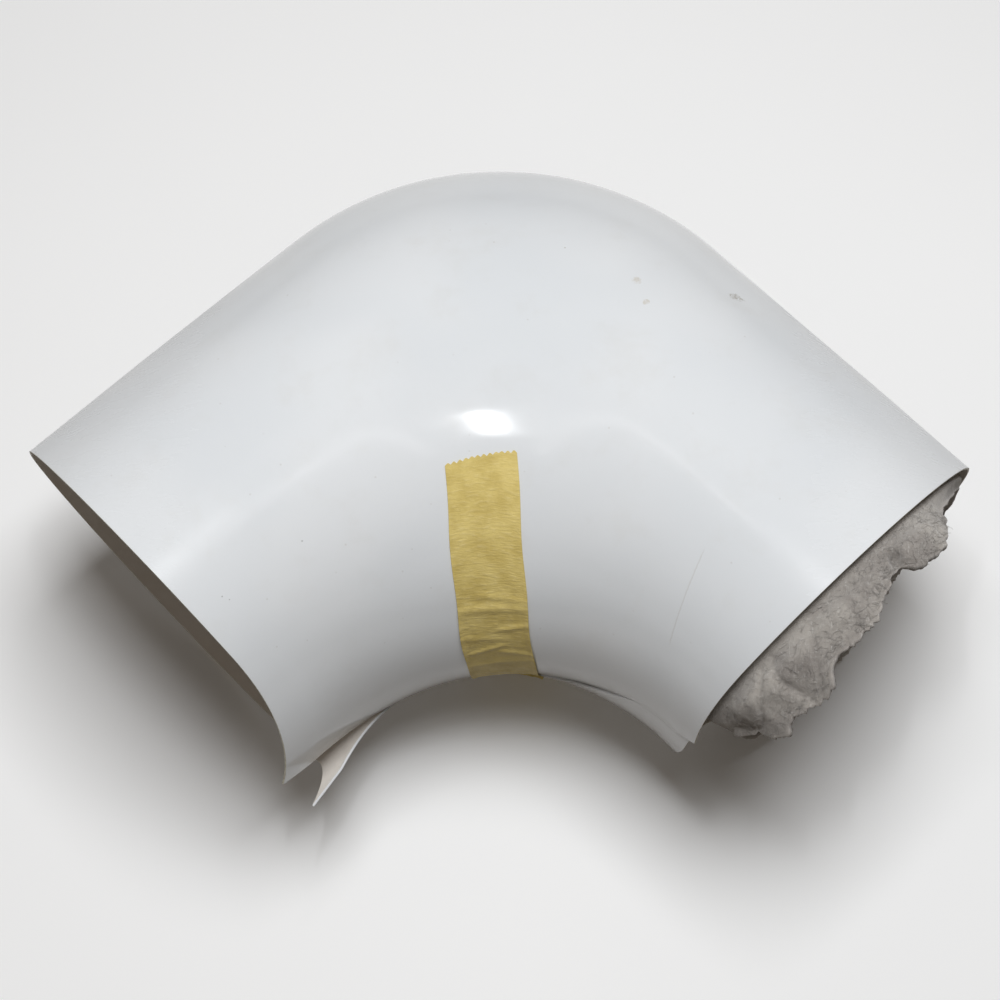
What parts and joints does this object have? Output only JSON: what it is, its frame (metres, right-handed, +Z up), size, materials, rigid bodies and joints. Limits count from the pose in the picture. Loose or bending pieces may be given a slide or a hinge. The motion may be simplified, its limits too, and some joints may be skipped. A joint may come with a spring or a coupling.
{
  "type": "insulated pipe elbow cover",
  "caption": "Thin sheet cover for a right-angle pipe elbow, split along the throat and taped shut, with fibre insulation plies standing out of one end.",
  "frame": {"origin": "under the middle of the elbow's bounding box, on the surface that it lies on", "axes": "+Z up from the bend's plane, +Y towards the heel, +X towards the end that the insulation stands out of"},
  "size_m": [0.3296, 0.2384, 0.1416],
  "materials": {
    "cover_sheet": "smooth bluish-white rigid vinyl sheet, semi-gloss",
    "tape": "tan-yellow creped paper masking tape",
    "insulation": "greyish-white glass fibre batt with torn edges"
  },
  "bodies": {
    "root": {"elbow_cover": "cover_sheet", "seam_tape": "tape", "insulation_outer_ply": "insulation", "insulation_inner_ply": "insulation"}
  },
  "joints": []
}
